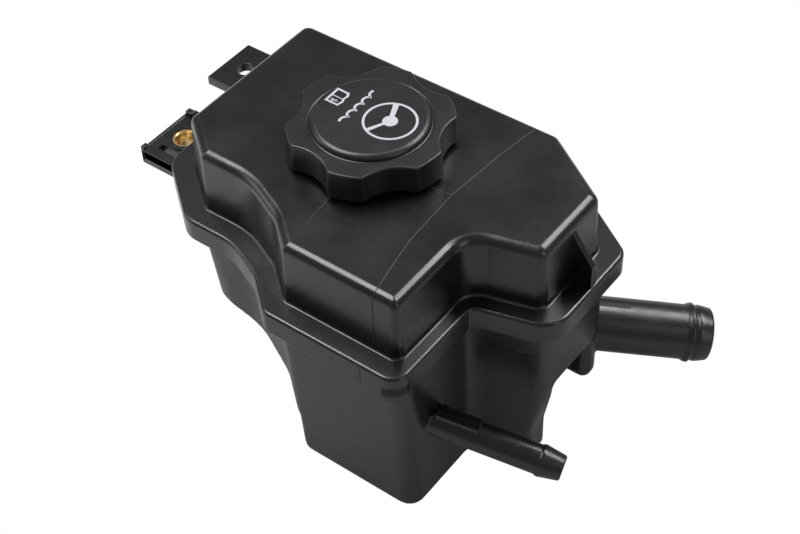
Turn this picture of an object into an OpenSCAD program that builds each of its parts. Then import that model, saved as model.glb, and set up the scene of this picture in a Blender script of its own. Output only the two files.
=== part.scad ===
// Power steering fluid reservoir: two moulded shells welded at a flange, hose stubs, fixing lugs, screw cap.
// Plan sizes are measured from the filler axis, heights from the underside of the sump.
// The finished part is moved so that its origin is the top of the fixing bush, on the bush's axis.

/* [Upper shell] */
// Left wall from the filler axis
shell_left = 68.2; // [64:0.1:74]
// Right wall from the filler axis
shell_right = 82.2; // [78:0.1:88]
// Back wall from the filler axis
shell_back = 45.7; // [45:0.1:52]
// Front wall of the front lobe from the filler axis
shell_front = 59.3; // [56:0.1:64]
// Left side of the front lobe from the filler axis
lobe_left = 5; // [2:0.1:9]
// Right side of the front lobe from the filler axis
lobe_right = 55.2; // [50:0.1:60]
// Front wall of the left shoulder from the filler axis
shoulder_front = 39.4; // [37:0.1:42]
// Front end of the right side, where the notch runs out
notch_outer = 10.6; // [8:0.1:14]
// Inner corner of the notch from the filler axis
notch_inner = 18.1; // [15:0.1:24]
// Width and depth of the left corner's chamfer
left_chamfer = [18.4, 14.5];
// Width and depth of the right rear corner's chamfer
rear_chamfer = [30.5, 19.8];
// Height of the top face over the sump's underside
top_height = 112; // [106:0.5:120]
// Radius along the top face's edge
top_round = 3; // [1.5:0.1:4]
// Moulded wall thickness
wall = 2.6; // [2:0.1:3]
// Inward lean of the upper walls over their height
upper_draft = 0.7; // [0.2:0.1:1.5]

/* [Weld flange] */
// Height of the flange's top face over the sump's underside
flange_top = 85; // [82:0.5:88]
// Thickness of the upper flange at the weld
flange_thickness = 4.5; // [3.5:0.1:5.5]
// Depth of the skirt that hides the weld, from the flange's top face
skirt_depth = 9.6; // [8.5:0.1:11]
// Thickness of the skirt
skirt_wall = 2.4; // [1.8:0.1:3]
// Gap between the skirt and the lower rim
skirt_gap = 0.3; // [0.2:0.05:0.6]
// Flange width along most sides
flange_width = 9; // [8.2:0.1:10]
// Radius along the flange's top edge
flange_round = 1.4; // [0.8:0.1:2]

/* [Lower shell] */
// Step of the lower walls outside the upper ones
lower_step = 3; // [2.6:0.1:3.4]
// Height of the left underside where it meets the sump
left_floor = 21.5; // [18:0.5:26]
// Height of the left underside at its outer end
left_floor_end = 40; // [37:0.5:44]
// Left wall of the sump from the filler axis
sump_left = 4.5; // [2:0.1:8]
// Right end of the sump at its underside
sump_right = 80.5; // [78:0.1:83]
// Depth of the sump behind the filler axis
sump_back = 14; // [10:0.5:16]
// Height up to which the sump's right end stands upright, before it flares out
flare_foot = 17; // [14:0.5:20]
// Height of the underside above the arch on the right
arch_height = 41; // [38:0.5:44]
// Front end of the arch, behind the notch
arch_front = -5; // [-7:0.5:-3]
// Height of the outlet well's underside
well_floor = 19; // [16:0.5:24]
// Left wall of the outlet well from the filler axis
well_left = 45; // [43:0.5:46]
// Front wall of the outlet well from the filler axis
well_front = 19.5; // [18.5:0.5:20]
// Step of the outlet well inside the lower walls
well_step = 0.7; // [0.5:0.1:1.2]

/* [Hose stubs] */
// Outer radius of the feed stub
feed_radius = 10.8; // [10:0.1:12]
// Bore radius of the feed stub
feed_bore = 8.2; // [7.5:0.1:8.4]
// Bead radius of the feed stub
feed_bead = 11.7; // [11:0.1:12.5]
// Length of the feed stub from the housing
feed_length = 47.5; // [42:0.5:54]
// Outer radius of the return stub
return_radius = 5.7; // [5:0.1:6.5]
// Bore radius of the return stub
return_bore = 3.9; // [3:0.1:4.2]
// Bead radius of the return stub
return_bead = 6.2; // [5.9:0.1:6.9]
// Length of the return stub from the housing
return_length = 49.5; // [42:0.5:56]

/* [Fixing lugs] */
// Thickness of the lugs
lug_thickness = 4; // [3:0.1:5]
// Bush position, left of and in front of the filler axis
bush_offset = [92, 6.2];
// Outer radius of the bush
bush_radius = 5.5; // [5:0.1:6]
// Bore radius of the bush
bush_bore = 3.3; // [3:0.05:3.6]
// Plain hole position, left of and behind the filler axis
tab_offset = [100.8, 41.2];
// Radius of the plain hole
tab_hole = 3.6; // [3.2:0.1:4.2]

/* [Filler and cap] */
// Bore radius of the filler neck
neck_bore = 16.5; // [15.5:0.1:17.5]
// Wall of the filler neck
neck_wall = 2.9; // [2.4:0.1:3.2]
// Height of the neck above the top face
neck_height = 9; // [8:0.1:10]
// Outer radius of the cap over its lobes
cap_radius = 31; // [29:0.1:33]
// Depth of the finger scallops
scallop_depth = 4.3; // [3:0.1:4.8]
// Height of the cap over its lobes
cap_height = 11; // [10.5:0.1:12]
// Radius of the raised disc on the cap
disc_radius = 22.2; // [20:0.1:23]
// Height of the raised disc
disc_height = 2; // [1.5:0.1:2.5]
// Running gap between the cap's collar and the neck
cap_gap = 1; // [0.8:0.05:1.3]

/* [Inner parts] */
// Width of the dipstick's blade
blade_width = 6; // [4:0.1:8]
// Thickness of the dipstick's blade
blade_thickness = 2; // [1.6:0.1:3]
// Height of the dipstick's tip over the sump's underside
blade_tip = 30; // [27:0.5:40]
// Thickness of the outlet screen's frame
screen_thickness = 3; // [2.4:0.1:4]
// Thickness of the return baffle
baffle_thickness = 2; // [1.6:0.1:2.6]

/* [Hidden] */
$fn = 64;
round_steps = 5;
fillet_steps = 4;
cut = 1;

plastic = [0.10, 0.10, 0.11];
brass = [0.85, 0.66, 0.32];
rubber = [0.06, 0.06, 0.06];
white_plastic = [0.85, 0.85, 0.82];

// Plan corners of the upper wall at the flange, anticlockwise from the left wall's front end
left_corner = -shoulder_front + left_chamfer[1];
corners = [
    [-shell_left, left_corner],
    [-shell_left + left_chamfer[0], -shoulder_front],
    [lobe_left - 33, -shoulder_front],
    [lobe_left - 13, (-shoulder_front * 11 - shell_front * 9) / 20],
    [lobe_left, -shell_front],
    [lobe_right, -shell_front],
    [lobe_right, -notch_inner],
    [shell_right, -notch_outer],
    [shell_right, shell_back - rear_chamfer[1]],
    [shell_right - rear_chamfer[0], shell_back],
    [-shell_left, shell_back]
];
wall_radii = [4, 4, 35, 25, 3, 3.5, 10, 5, 5, 6, 5];
flange_radii = [11, 11, 30, 22, 6, 7, 3, 12, 7, 12, 10];

// Beside the front lobe's right side the flange is only as wide as its skirt and the lower rim need
rim_step = 0.2;
flange_narrow = lower_step + rim_step + skirt_gap + skirt_wall;

// How far each side of the flange stands outside the upper wall, from the left chamfer on
flange_reach = [flange_width, flange_width, flange_width, flange_width, flange_width, flange_narrow,
                (flange_width + flange_narrow) / 2, flange_width, flange_width, flange_width, flange_width + 3];
// The same for the lower walls at the rim and at the sump's underside, which gives their draft
lower_reach = [for (i = [0 : 10]) lower_step];
sump_edge = 1.5;
well_edge = 3;
foot_lean = 4.3;
left_lean = 7.5;
foot_reach = [lower_step - left_lean, lower_step - foot_lean, lower_step - foot_lean, lower_step - foot_lean,
              lower_step - foot_lean, lower_step, lower_step - 1, lower_step, lower_step, lower_step,
              lower_step - left_lean];

weld_height = flange_top - flange_thickness;
skirt_foot = flange_top - skirt_depth;
rim_foot = skirt_foot + 0.8;
neck_radius = neck_bore + neck_wall;
neck_top = top_height + neck_height;
lug_top = skirt_foot - 0.4;

// Cap heights and radii
cap_foot = top_height + 2;
cap_top = cap_foot + cap_height;
seal_thickness = 1.5;
seal_gap = 0.3;
cap_ceiling = neck_top + seal_gap + seal_thickness;
collar_bore = neck_radius + cap_gap;
collar_radius = collar_bore + 2;
lobe_turn = -10.3;
lobe_count = 6;
scallop_half_angle = 18;

// Dipstick head, which turns in the socket under the cap
head_radius = 4;
shank_radius = 3;
head_gap = 0.05;
head_play = 0.2;
socket_wall = 2;
socket_lip = 3;
socket_foot = cap_ceiling - 6;

// Feed stub: where it leaves the chamfered corner of the well, and its direction
feed_root = [76.5, 33.2, 36];
feed_swing = 36;
feed_dip = 9.4;
feed_sink = 5.5;
// Return stub: where it leaves the front lobe's right side, and its direction
return_root = [lobe_right + lower_step, -42.7, 39];
return_swing = 16.7;
return_dip = 9.8;
return_sink = 2.2;
stub_lead = 8.4;

bush_point = [-bush_offset[0], -bush_offset[1], lug_top];
bush_length = lug_thickness + 5;
tab_point = [-tab_offset[0], tab_offset[1], lug_top];

// Screen over the outlet well, which lies on the well's walls and two posts
seat_gap = 0.3;
side_gap = 0.6;
screen_sill = 2;
screen_foot = arch_height + wall + screen_sill + seat_gap;
screen_border = 3.5;
mesh_rebate = 1.5;
mesh_thickness = 0.8;
mesh_pitch = 4.5;
mesh_hole = 3.1;
post_radius = 2.5;

// Return baffle, which stands between two guides on the front wall
baffle_x = lobe_right - 14;
baffle_front = -shell_front + foot_lean + 1.6;
baffle_back = -24;
baffle_top = 66;
guide_top = 45;

// Geometry helpers

function unit(v) = v / norm(v);
function outward(d) = [d[1], -d[0]];
function turned(v, a) = [v[0] * cos(a) - v[1] * sin(a), v[0] * sin(a) + v[1] * cos(a)];

// Corner where two sides meet after each has moved outward by its own reach
function moved_corner(p, n1, n2, g1, g2) =
    let(det = n1[0] * n2[1] - n1[1] * n2[0])
    p + [g1 * n2[1] - g2 * n1[1], n1[0] * g2 - n2[0] * g1] / det;

// Arc of one rounded corner; the same number of points whatever its radius
function corner_arc(p, d1, d2, r) =
    let(bend = atan2(d1[0] * d2[1] - d1[1] * d2[0], d1 * d2),
        side = bend > 0 ? 1 : -1,
        start = p - d1 * r * tan(abs(bend) / 2),
        centre = start - side * outward(d1) * r)
    [for (k = [0 : round_steps]) centre + turned(side * outward(d1) * r, bend * k / round_steps)];

// Closed outline with each side moved outward by its reach and each corner rounded
function outline(points, reach, radii) =
    let(n = len(points),
        d = [for (i = [0 : n - 1]) unit(points[(i + 1) % n] - points[i])],
        moved = [for (i = [0 : n - 1])
            moved_corner(points[i], outward(d[(i + n - 1) % n]), outward(d[i]), reach[(i + n - 1) % n], reach[i])])
    [for (i = [0 : n - 1]) each corner_arc(moved[i], d[(i + n - 1) % n], d[i], radii[i])];

function grown(list, g) = [for (v = list) v + g];

// Radii that follow a side moved outward by g: outer corners open, inner corners close
function followed(radii, g) =
    [for (i = [0 : len(radii) - 1]) max(0.5, radii[i] + ((i == 2 || i == 3 || i == 6) ? -g : g))];

function body_outline(g) = outline(corners, grown([for (c = corners) 0], g), followed(wall_radii, g));
function flange_outline(g) = outline(corners, grown(flange_reach, g), followed(flange_radii, g));
function lower_outline(share, g) =
    outline(corners, grown(lower_reach * share + foot_reach * (1 - share), g), followed(wall_radii, g + lower_step));

// Solid through a stack of outlines, each a list of plan points at its own height
module loft(rings, heights) {
    n = len(rings[0]);
    m = len(rings);
    polyhedron(
        points = [for (k = [0 : m - 1]) for (p = rings[k]) [p[0], p[1], heights[k]]],
        faces = concat(
            [[for (i = [0 : n - 1]) i]],
            [for (k = [0 : m - 2]) for (i = [0 : n - 1])
                [(k + 1) * n + i, (k + 1) * n + (i + 1) % n, k * n + (i + 1) % n, k * n + i]],
            [[for (i = [n - 1 : -1 : 0]) (m - 1) * n + i]]),
        convexity = 10);
}

module at_feed() {
    translate(feed_root) rotate([0, 90 + feed_dip, feed_swing]) children();
}

module at_return() {
    translate(return_root) rotate([0, 90 + return_dip, return_swing]) children();
}

module placed() {
    translate(-bush_point) children();
}

// Upper shell

// Drafted walls up to a rounded edge, as steps of [inward move, height]
module upper_body() {
    steps = [for (k = [0 : fillet_steps]) let(a = 90 * k / fillet_steps)
        [upper_draft + top_round * (1 - cos(a)), top_height - top_round * (1 - sin(a))]];
    loft([body_outline(0), for (s = steps) body_outline(-s[0])], [flange_top - 1, for (s = steps) s[1]]);
}

// Upright flange band up to a rounded edge, as steps of [inward move, height]
module flange_plate() {
    steps = [for (k = [0 : 3]) let(a = 30 * k)
        [flange_round * (1 - cos(a)), flange_top - flange_round * (1 - sin(a))]];
    loft([flange_outline(0), for (s = steps) flange_outline(-s[0])], [skirt_foot - cut, for (s = steps) s[1]]);
}

module gusset() {
    rib_y = 9;
    rib_thickness = 2.4;
    outer = shell_right + flange_width - 0.6;
    translate([0, rib_y + rib_thickness / 2, 0]) rotate([90, 0, 0]) linear_extrude(rib_thickness)
        polygon([[shell_right - wall / 2, flange_top - 1], [outer, flange_top - 1], [outer, flange_top + 11],
                 [shell_right - wall / 2, top_height - 4]]);
}

module upper_shell() {
    color(plastic) placed() difference() {
        union() {
            upper_body();
            flange_plate();
            gusset();
            translate([0, 0, top_height - wall]) cylinder(r = neck_radius, h = neck_height + wall);
            translate([0, 0, top_height - 0.5]) cylinder(r = neck_radius + 2, h = 1.5);
        }
        translate([0, 0, weld_height - cut]) linear_extrude(top_height - wall - weld_height + cut)
            polygon(body_outline(-wall - upper_draft / 2));
        translate([0, 0, skirt_foot - 2 * cut]) linear_extrude(weld_height - skirt_foot + 2 * cut)
            polygon(flange_outline(-skirt_wall));
        translate([-150, -150, skirt_foot - 10]) cube([300, 300, 10]);
        translate([0, 0, top_height - wall - cut]) cylinder(r = neck_bore, h = neck_height + wall + 2 * cut);
    }
}

// Lower shell

// Side view of the chamber: everything over its sloped underside
module chamber_profile(inset) {
    low = left_floor;
    ramp = [well_left - 7, well_left + 15];
    points = [[-110, 120], [-110, left_floor_end + 4], [-45, left_floor_end - 3.5], [-26, low + 9.5],
              [sump_left, low], [ramp[0], low], [ramp[1], arch_height], [120, arch_height], [120, 120]];
    radii = [1, 4, 10, 25, 8, 8, 8, 1, 1];
    sides = [-inset, -inset, -inset, -inset, -inset, -inset, -inset, 0, 0];
    bent = [for (i = [0 : len(radii) - 1]) max(0.6, radii[i] + ((i == 3 || i == 5) ? inset : -inset))];
    polygon(outline(points, sides, bent));
}

// Side view of the sump: upright walls, and a right end that flares out to meet the right wall
module sump_profile(inset) {
    flare = shell_right + lower_step + 0.5;
    points = [[sump_left, arch_height + 5], [sump_left, 0], [sump_right, 0], [sump_right, flare_foot],
              [flare, arch_height], [flare, arch_height + 5]];
    radii = [1, 4, 4, 16, 12, 1];
    sides = [-inset, -inset, -inset, -inset, -inset, 0];
    bent = [for (i = [0 : len(radii) - 1]) max(0.6, radii[i] + (i == 3 ? inset : -inset))];
    polygon(outline(points, sides, bent));
}

// Drafted walls of chamber and sump, with a rounded edge round the underside
module lower_walls(inset) {
    edge = max(0.3, sump_edge - inset);
    steps = [for (k = [0 : 3]) let(a = 30 * k) [edge * (1 - sin(a)), inset + edge * (1 - cos(a))]];
    loft([for (st = steps) lower_outline(0, -inset - st[0]), lower_outline(1, -inset)],
         [for (st = steps) st[1], weld_height]);
}

module along_y() {
    translate([0, 100, 0]) rotate([90, 0, 0]) linear_extrude(200) children();
}

module sump_prism(inset) {
    plan = [[sump_left - 1, -80], [120, -80], [120, arch_front], [shell_right, arch_front],
            [well_left + 19, sump_back], [sump_left - 1, sump_back]];
    intersection() {
        translate([0, 0, -cut]) linear_extrude(arch_height + 5 + cut)
            polygon(outline(plan, [0, 0, -inset, -inset, -inset, 0], [1, 1, 0.6, 12, 3 - inset / 2, 1]));
        along_y() sump_profile(inset);
    }
}

module lower_body(inset) {
    intersection() {
        lower_walls(inset);
        union() {
            along_y() chamber_profile(inset);
            sump_prism(inset);
        }
    }
    well(inset);
}

// Outlet well: a rounded leg in the right rear corner
module well(inset) {
    edge = max(0.6, well_edge - inset);
    top = arch_height + 8;
    reach = lower_step - well_step - inset;
    plan = [[well_left, well_front], [shell_right, well_front], [shell_right, shell_back - rear_chamfer[1]],
            [shell_right - rear_chamfer[0], shell_back], [well_left, shell_back]];
    steps = [for (k = [0 : fillet_steps]) let(a = 90 * k / fillet_steps)
        [edge * (1 - sin(a)), well_floor + inset + edge * (1 - cos(a))]];
    rings = [for (st = [for (v = steps) v[0], 0]) outline(plan,
        [-inset - st, reach - st, reach - st, reach - st, -inset - st],
        [for (r = [4.5, 3.5, 5, 6, 1.5]) max(0.6, r - inset - st)])];
    loft(rings, [for (st = steps) st[1], top]);
}

// Walls that stand up from the chamber's floor around the well, and a post under the screen's back edge
module well_walls() {
    wall_top = screen_foot - seat_gap;
    intersection() {
        translate([well_left, well_front, 0]) cube([80, 80, wall_top]);
        difference() {
            translate([well_left, well_front, 0]) cube([30, 40, wall_top]);
            translate([well_left + wall, well_front + wall, -cut]) cube([40, 40, wall_top + 2 * cut]);
        }
    }
    translate([shell_right - rear_chamfer[0] + 4, shell_back - 1, 0]) cylinder(r = post_radius, h = wall_top);
}

// Guides that hold the baffle's front edge
module baffle_guides() {
    for (x = [baffle_x - seat_gap - 2, baffle_x + baffle_thickness + seat_gap])
        translate([x, -shell_front - lower_step, 0]) cube([2, baffle_front + shell_front + lower_step + 4, guide_top]);
}

module hose_stub(radius, bead, length, lead, sink) {
    bead_at = length - lead;
    rotate_extrude() polygon([[0, -sink], [radius, -sink], [radius, bead_at - 1.6], [bead - 0.15, bead_at - 0.9],
                              [bead, bead_at - 0.4], [bead, bead_at + 0.4], [bead - 0.3, bead_at + 1.2],
                              [radius * 0.86 + 0.6, length - 1], [radius * 0.86, length - 0.3],
                              [radius * 0.86 - 0.5, length], [0, length]]);
}

module stub_ribs(radius, length, count) {
    for (k = [0 : count - 1])
        rotate([0, 0, 180 + (k - (count - 1) / 2) * 24]) translate([radius - 0.6, -0.6, -1])
            cube([1.5, 1.2, length + 1]);
}

// Fixing lug with the bush, the slot in front of it and the two end posts
module bush_lug() {
    lug_left = bush_offset[0] + 8.8;
    lug_front = bush_offset[1] + 15.5;
    lug_back = 9;
    translate([-lug_left, -lug_front, lug_top - lug_thickness])
        cube([lug_left - shell_left + 2, lug_front + lug_back, lug_thickness]);
    translate([bush_point[0], bush_point[1], lug_top - bush_length]) cylinder(r = bush_radius + 2.5, h = bush_length);
    translate([-lug_left - 1.5, -lug_front, lug_top - lug_thickness]) cube([3.5, 3, lug_thickness + 1.6]);
    translate([-lug_left - 1.5, lug_back - 4.5, lug_top - lug_thickness]) cube([5, 4.5, lug_thickness + 2.4]);
    translate([-lug_left + 8, -lug_front + 2, lug_top - lug_thickness - 7]) cube([20, 2, 8]);
    translate([-lug_left + 8, lug_back - 4, lug_top - lug_thickness - 7]) cube([20, 2, 8]);
}

module bush_lug_cuts() {
    translate(bush_point + [0, 0, -bush_length - cut]) cylinder(r = bush_radius, h = bush_length + 2 * cut);
    translate([bush_point[0] - 5.5, bush_point[1] - bush_radius - 5.4, lug_top - lug_thickness - cut])
        cube([11, 2.8, lug_thickness + 2 * cut]);
}

module plain_tab() {
    tab_left = tab_offset[0] + 10;
    tab_front = tab_offset[1] - 12.9;
    tab_back = shell_back + flange_width;
    translate([-tab_left, tab_front, lug_top - lug_thickness])
        cube([tab_left - shell_left + 2, tab_back - tab_front, lug_thickness]);
    translate([-tab_left + 16, tab_front + 3, lug_top - lug_thickness - 6]) cube([16, 2, 7]);
}

module lower_shell() {
    color(plastic) placed() difference() {
        union() {
            lower_body(0);
            translate([0, 0, rim_foot]) linear_extrude(weld_height - rim_foot)
                polygon(flange_outline(-skirt_wall - skirt_gap));
            bush_lug();
            plain_tab();
            at_feed() hose_stub(feed_radius, feed_bead, feed_length, stub_lead, feed_sink);
            at_feed() stub_ribs(feed_radius, 17, 1);
            at_return() hose_stub(return_radius, return_bead, return_length, stub_lead, return_sink);
            at_return() stub_ribs(return_radius, 17, 3);
        }
        difference() {
            lower_body(wall);
            well_walls();
            baffle_guides();
        }
        translate([0, 0, rim_foot - cut]) linear_extrude(weld_height - rim_foot + 2 * cut)
            polygon(lower_outline(1, -wall));
        at_feed() translate([0, 0, -feed_sink - cut]) cylinder(r = feed_bore, h = feed_length + feed_sink + 2 * cut);
        at_return() translate([0, 0, -return_sink - 2 * cut])
            cylinder(r = return_bore, h = return_length + return_sink + 3 * cut);
        bush_lug_cuts();
        translate(tab_point + [0, 0, -lug_thickness - cut]) cylinder(r = tab_hole, h = lug_thickness + 2 * cut);
    }
}

// Fixing bush

module fixing_bush() {
    color(brass) placed() translate(bush_point + [0, 0, -bush_length]) difference() {
        cylinder(r = bush_radius, h = bush_length);
        translate([0, 0, -cut]) cylinder(r = bush_bore, h = bush_length + 2 * cut);
    }
}

// Cap

module lobe_plan() {
    chord = cap_radius * sin(scallop_half_angle);
    sag = scallop_depth - cap_radius * (1 - cos(scallop_half_angle));
    scallop_radius = (chord * chord + sag * sag) / (2 * sag);
    difference() {
        circle(r = cap_radius + 1);
        for (k = [0 : lobe_count - 1]) rotate(lobe_turn + (k + 0.5) * 360 / lobe_count)
            translate([cap_radius - scallop_depth + scallop_radius, 0]) circle(r = scallop_radius);
    }
}

module cap_turning() {
    rotate_extrude() polygon([
        [0, cap_foot], [cap_radius + 0.5, cap_foot], [cap_radius, cap_top - 1.2], [cap_radius - 0.35, cap_top - 0.4],
        [cap_radius - 1.2, cap_top], [disc_radius + 0.9, cap_top], [disc_radius + 0.5, cap_top - 0.4],
        [disc_radius, cap_top], [disc_radius - 0.25, cap_top + disc_height * 0.5],
        [disc_radius - 0.8, cap_top + disc_height * 0.85], [disc_radius - 1.9, cap_top + disc_height],
        [0, cap_top + disc_height]]);
}

module cap() {
    color(plastic) placed() difference() {
        union() {
            difference() {
                intersection() {
                    translate([0, 0, cap_foot - cut]) linear_extrude(cap_height + disc_height + 2 * cut) lobe_plan();
                    cap_turning();
                }
                translate([0, 0, cap_foot - cut]) cylinder(r = collar_bore, h = cap_ceiling - cap_foot + cut);
                for (k = [0 : lobe_count - 1]) rotate(lobe_turn + k * 360 / lobe_count)
                    translate([collar_radius + 3, 0, cap_foot - cut]) cylinder(r = 2.4, h = cap_height - 3);
            }
            translate([0, 0, socket_foot]) cylinder(r = head_radius + head_gap + socket_wall, h = 7);
        }
        translate([0, 0, socket_foot - cut]) cylinder(r = shank_radius + head_gap, h = socket_lip + 2 * cut);
        translate([0, 0, socket_foot + socket_lip])
            cylinder(r = head_radius + head_gap, h = cap_ceiling - socket_foot - socket_lip);
    }
}

module cap_seal() {
    color(rubber) placed() translate([0, 0, cap_ceiling - seal_thickness]) difference() {
        cylinder(r = neck_radius + 0.2, h = seal_thickness);
        translate([0, 0, -cut]) cylinder(r = neck_bore + 0.4, h = seal_thickness + 2 * cut);
    }
}

// Dipstick

module dipstick() {
    head_foot = socket_foot + socket_lip + head_play;
    head_top = cap_ceiling - head_play;
    collar_top = socket_foot - seat_gap;
    collar_thickness = 2;
    color(plastic) placed() difference() {
        union() {
            translate([0, 0, head_foot]) cylinder(r = head_radius, h = head_top - head_foot);
            translate([0, 0, collar_top - cut]) cylinder(r = shank_radius, h = head_foot - collar_top + 2 * cut);
            translate([0, 0, collar_top - collar_thickness]) cylinder(r = head_radius + 2, h = collar_thickness);
            translate([-blade_thickness / 2, -blade_width / 2, blade_tip])
                cube([blade_thickness, blade_width, collar_top - collar_thickness - blade_tip + 0.5]);
        }
        for (z = [blade_tip + 12, blade_tip + 26], side = [-1, 1])
            translate([-blade_thickness, side * blade_width / 2 - 0.8, z]) cube([2 * blade_thickness, 1.6, 2]);
        for (side = [-1, 1]) translate([-blade_thickness, side * blade_width / 2, blade_tip - 1.5])
            rotate([45, 0, 0]) translate([0, -1.5, -1.5]) cube([2 * blade_thickness, 3, 3]);
    }
}

// Outlet screen

// Plan of the screen, moved inward from its own edge by inset
module screen_plan(inset) {
    intersection() {
        polygon(lower_outline(0.55, -wall - side_gap - inset));
        translate([well_left + seat_gap + inset, well_front + seat_gap + inset]) square([60, 60]);
    }
}

module screen_windows() {
    difference() {
        screen_plan(screen_border);
        translate([(well_left + shell_right) / 2 - 1.25, 0]) square([2.5, 100]);
    }
}

module screen_frame() {
    color(plastic) placed() translate([0, 0, screen_foot]) difference() {
        linear_extrude(screen_thickness) screen_plan(0);
        translate([0, 0, -cut]) linear_extrude(screen_thickness + 2 * cut) screen_windows();
        translate([0, 0, screen_thickness - mesh_thickness]) linear_extrude(mesh_thickness + cut)
            screen_plan(mesh_rebate);
    }
}

module screen_mesh() {
    sheet_foot = screen_foot + screen_thickness - mesh_thickness;
    color(white_plastic) placed() translate([0, 0, sheet_foot]) linear_extrude(mesh_thickness) difference() {
        screen_plan(mesh_rebate + 0.1);
        intersection() {
            screen_plan(screen_border);
            for (x = [well_left : mesh_pitch : shell_right], y = [well_front : mesh_pitch : shell_back])
                translate([x, y]) square(mesh_hole);
        }
    }
}

// Return baffle, an angled plate in front of the return stub

module return_baffle() {
    foot = wall + seat_gap;
    height = baffle_top - foot;
    leg = 9;
    color(plastic) placed() translate([baffle_x, 0, foot]) {
        difference() {
            translate([0, baffle_front, 0]) cube([baffle_thickness, baffle_back - baffle_front, height]);
            for (k = [0 : 2]) translate([-cut, baffle_front + 6 + k * 8, -cut])
                cube([baffle_thickness + 2 * cut, 4, 9 + cut]);
        }
        translate([-leg, baffle_back - baffle_thickness, 0]) cube([leg + baffle_thickness, baffle_thickness, height]);
    }
}

lower_shell();
upper_shell();
fixing_bush();
cap();
cap_seal();
dipstick();
screen_frame();
screen_mesh();
return_baffle();
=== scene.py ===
"""Looks of the power steering fluid reservoir: moulded black plastic shells, brass bush and printed cap."""
import math

import bmesh
import bpy
import numpy as np
from mathutils import Matrix, Vector
from mathutils.geometry import tessellate_polygon


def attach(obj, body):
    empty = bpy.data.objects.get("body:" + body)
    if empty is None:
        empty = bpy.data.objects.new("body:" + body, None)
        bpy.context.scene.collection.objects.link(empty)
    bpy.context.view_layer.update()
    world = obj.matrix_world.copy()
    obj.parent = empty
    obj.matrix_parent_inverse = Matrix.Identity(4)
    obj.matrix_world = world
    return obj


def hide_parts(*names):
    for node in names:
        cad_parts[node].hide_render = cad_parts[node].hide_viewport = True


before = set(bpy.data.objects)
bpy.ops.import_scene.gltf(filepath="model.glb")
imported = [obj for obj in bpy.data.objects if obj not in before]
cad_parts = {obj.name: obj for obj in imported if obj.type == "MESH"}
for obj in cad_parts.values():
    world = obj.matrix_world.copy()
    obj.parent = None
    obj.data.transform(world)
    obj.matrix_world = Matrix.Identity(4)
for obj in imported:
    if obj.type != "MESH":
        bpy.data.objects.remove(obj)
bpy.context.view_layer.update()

MM = 0.001

# Origin of the shared frame, seen from the filler axis and the sump's underside, in mm
ORIGIN = np.array((-92.0, -6.2, 75.0))

# Camera: where it stands, the direction it looks in, how far it is rolled, and its focal length on a 36 mm sensor
CAMERA_AT = Vector((376.0, -338.2, 431.0)) * MM
CAMERA_LOOKS = Vector((-0.43449, 0.54713, -0.71545))
CAMERA_ROLL = math.radians(-2.43)
CAMERA_LENS = 73.26

FLOOR_Z = -75.0 * MM
# Share of white that the floor adds in reflections
GLOSSY_SHARE = 0.1

# Plan corners of the upper wall at the flange, anticlockwise from the left wall's front end, as in the solids
CORNERS = [(-68.2, -24.9), (-49.8, -39.4), (-28, -39.4), (-8, -48.355), (5, -59.3), (55.2, -59.3), (55.2, -18.1),
           (82.2, -10.6), (82.2, 25.9), (51.7, 45.7), (-68.2, 45.7)]
WALL_RADII = [4, 4, 35, 25, 3, 3.5, 10, 5, 5, 6, 5]
FLANGE_RADII = [11, 11, 30, 22, 6, 7, 3, 12, 7, 12, 10]
FLANGE_REACH = [9, 9, 9, 9, 9, 5.9, 7.45, 9, 9, 9, 12]
LOWER_STEP = 3.0
FOOT_REACH = [-4.5, -1.3, -1.3, -1.3, -1.3, 3, 2, 3, 3, 3, -4.5]
INNER_CORNERS = (2, 3, 6)
TOP_ROUND = 3.9

SKIRT_FOOT, WELD, FLANGE_TOP, TOP = 75.4, 80.5, 85.0, 112.0
CAP_FOOT, CAP_TOP, DISC_TOP = 114.0, 125.0, 127.0
LUG_TOP = 75.0


# Outlines

ARC_STEPS = 14


def unit(v):
    return v / np.hypot(*v)


def turned(v, a):
    return np.array((v[0] * math.cos(a) - v[1] * math.sin(a), v[0] * math.sin(a) + v[1] * math.cos(a)))


def outline(corners, reach, radii, steps=8, spacing=0.0):
    """Closed outline with each side moved outward by its reach and each corner rounded. With a spacing, the sides
    get points in between, as many for every reach, so that outlines of one set of corners join point to point."""
    corners = np.array(corners, float)
    count = len(corners)
    ways = [unit(corners[(i + 1) % count] - corners[i]) for i in range(count)]
    arcs = []
    for i in range(count):
        d1, d2 = ways[i - 1], ways[i]
        n1, n2 = np.array((d1[1], -d1[0])), np.array((d2[1], -d2[0]))
        g1, g2 = reach[i - 1], reach[i]
        across = n1[0] * n2[1] - n1[1] * n2[0]
        corner = corners[i] + np.array((g1 * n2[1] - g2 * n1[1], n1[0] * g2 - n2[0] * g1)) / across
        bend = math.atan2(d1[0] * d2[1] - d1[1] * d2[0], float(np.dot(d1, d2)))
        side = 1 if bend > 0 else -1
        centre = corner - d1 * radii[i] * math.tan(abs(bend) / 2) - side * n1 * radii[i]
        arcs.append([centre + turned(side * n1 * radii[i], bend * k / steps) for k in range(steps + 1)])
    points = []
    for i in range(count):
        points += arcs[i]
        if spacing:
            extra = int(np.hypot(*(corners[(i + 1) % count] - corners[i])) / spacing)
            start, end = arcs[i][-1], arcs[(i + 1) % count][0]
            points += [start + (end - start) * (k + 1) / (extra + 1) for k in range(extra)]
    return np.array(points)


def followed(radii, g):
    return [max(0.5, r + (-g if i in INNER_CORNERS else g)) for i, r in enumerate(radii)]


def body_outline(g, spacing=7.0):
    return outline(CORNERS, [g] * 11, followed(WALL_RADII, g), ARC_STEPS, spacing)


def flange_outline(g, spacing=7.0):
    return outline(CORNERS, [r + g for r in FLANGE_REACH], followed(FLANGE_RADII, g), ARC_STEPS, spacing)


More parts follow.
